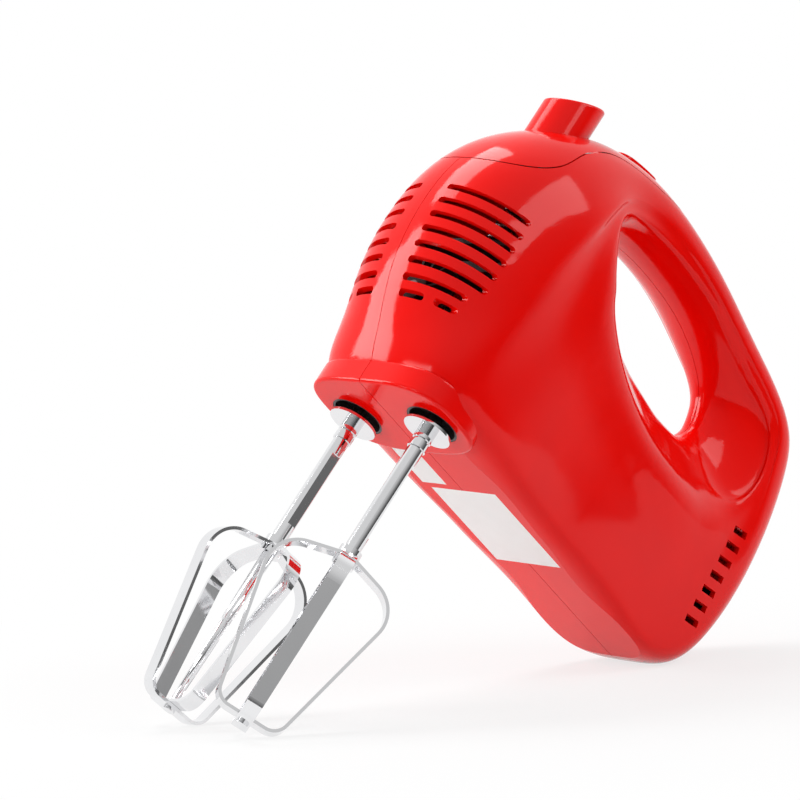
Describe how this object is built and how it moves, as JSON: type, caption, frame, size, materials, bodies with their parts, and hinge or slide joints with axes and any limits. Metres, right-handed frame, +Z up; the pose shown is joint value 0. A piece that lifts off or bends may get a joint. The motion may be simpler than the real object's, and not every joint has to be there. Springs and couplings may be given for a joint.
{
  "type": "hand mixer",
  "caption": "Electric hand mixer resting on its beaters and heel, with a closed loop handle, a round speed and eject knob and twin strip beaters.",
  "frame": {"origin": "middle of the resting mixer's bounding box, on the surface it stands on", "axes": "+X towards the nose and the beaters, +Y to the mixer's left side, +Z up; the mixer stands on both beaters and its heel, nose raised"},
  "size_m": [0.265, 0.081, 0.1961],
  "materials": {
    "red_plastic": "high gloss moulded",
    "black_plastic": "satin moulded",
    "brush_resin": "moulded resin",
    "label_white": "satin film",
    "chrome": "bright chrome plate",
    "steel": "turned",
    "lamination": "stacked sheets",
    "copper": "enamelled wire",
    "bearing_bronze": "sintered",
    "nylon": "natural nylon",
    "carbon": "pressed carbon",
    "spring_steel": "drawn wire"
  },
  "bodies": {
    "root": {"housing_left": "red_plastic", "housing_right": "red_plastic", "top_cover": "red_plastic", "socket_ring_left": "black_plastic", "socket_ring_right": "black_plastic", "rating_label": "label_white", "front_label": "label_white", "cord_bush": "black_plastic", "housing_screws": "steel", "gear_frame": "steel", "spindle_bush_left": "bearing_bronze", "spindle_bush_right": "bearing_bronze", "worm_front_bearing": "bearing_bronze", "worm_rear_bearing": "bearing_bronze", "stator_core": "lamination", "field_coil_upper": "copper", "field_coil_lower": "copper", "carbon_brush_left": "carbon", "brush_holder_left": "brush_resin", "carbon_brush_right": "carbon", "brush_holder_right": "brush_resin", "motor_rear_bracket": "steel", "motor_rear_bearing": "bearing_bronze", "eject_guide": "black_plastic", "eject_spring": "spring_steel", "speed_switch": "black_plastic", "turbo_contact": "spring_steel"},
    "motor_rotor": {"motor_shaft": "steel", "worm": "steel", "commutator": "copper", "cooling_fan": "black_plastic", "armature_core": "lamination", "armature_windings": "copper"},
    "left_spindle": {"spindle_left": "steel", "worm_wheel_left": "nylon"},
    "right_spindle": {"spindle_right": "steel", "worm_wheel_right": "nylon"},
    "left_beater": {"beater_left_shaft": "chrome", "beater_left_outer_loop": "chrome", "beater_left_inner_loop": "chrome", "beater_left_rivet": "chrome"},
    "right_beater": {"beater_right_shaft": "chrome", "beater_right_outer_loop": "chrome", "beater_right_inner_loop": "chrome", "beater_right_rivet": "chrome"},
    "slider": {"speed_slider": "black_plastic"},
    "knob": {"speed_knob": "red_plastic"},
    "ejector_body": {"ejector": "black_plastic"},
    "turbo": {"turbo_button": "red_plastic"}
  },
  "joints": [
    {"name": "left_spindle_spin", "type": "hinge", "parent": "root", "child": "left_spindle", "pos_m": [0.02338, 0.02289, 0.11542], "axis": [-0.6827, 0.0438, 0.7294], "continuous": true},
    {"name": "right_spindle_spin", "type": "hinge", "parent": "root", "child": "right_spindle", "pos_m": [0.02228, -0.01388, 0.1166], "axis": [-0.6827, 0.0438, 0.7294], "continuous": true},
    {"name": "motor_spin", "type": "hinge", "parent": "root", "child": "motor_rotor", "pos_m": [0.01874, 0.00477, 0.12038], "axis": [0.7301, 0, 0.6833], "continuous": true},
    {"name": "speed_slide", "type": "slide", "parent": "root", "child": "slider", "axis": [-0.9605, 0.0199, -0.2777], "range_m": [0, 0.01]},
    {"name": "eject_press", "type": "slide", "parent": "slider", "child": "knob", "axis": [0.6827, -0.0438, -0.7294], "range_m": [0, 0.008], "stiffness_N_per_m": 400, "springref_m": -0.006},
    {"name": "ejector_slide", "type": "slide", "parent": "root", "child": "ejector_body", "axis": [0.6827, -0.0438, -0.7294], "range_m": [0, 0.008]},
    {"name": "left_beater_slide", "type": "slide", "parent": "left_spindle", "child": "left_beater", "axis": [0.6827, -0.0438, -0.7294], "range_m": [0, 0.008]},
    {"name": "right_beater_slide", "type": "slide", "parent": "right_spindle", "child": "right_beater", "axis": [0.6827, -0.0438, -0.7294], "range_m": [0, 0.008]},
    {"name": "turbo_press", "type": "slide", "parent": "root", "child": "turbo", "axis": [0.6827, -0.0438, -0.7294], "range_m": [0, 0.0025], "stiffness_N_per_m": 800, "springref_m": -0.001}
  ],
  "couplings": [
    {"joint": "right_spindle_spin", "follows": "left_spindle_spin", "ratio": -1},
    {"joint": "motor_spin", "follows": "left_spindle_spin", "ratio": -11},
    {"joint": "ejector_slide", "follows": "eject_press", "ratio": 1},
    {"joint": "left_beater_slide", "follows": "eject_press", "ratio": 1},
    {"joint": "right_beater_slide", "follows": "eject_press", "ratio": 1}
  ]
}
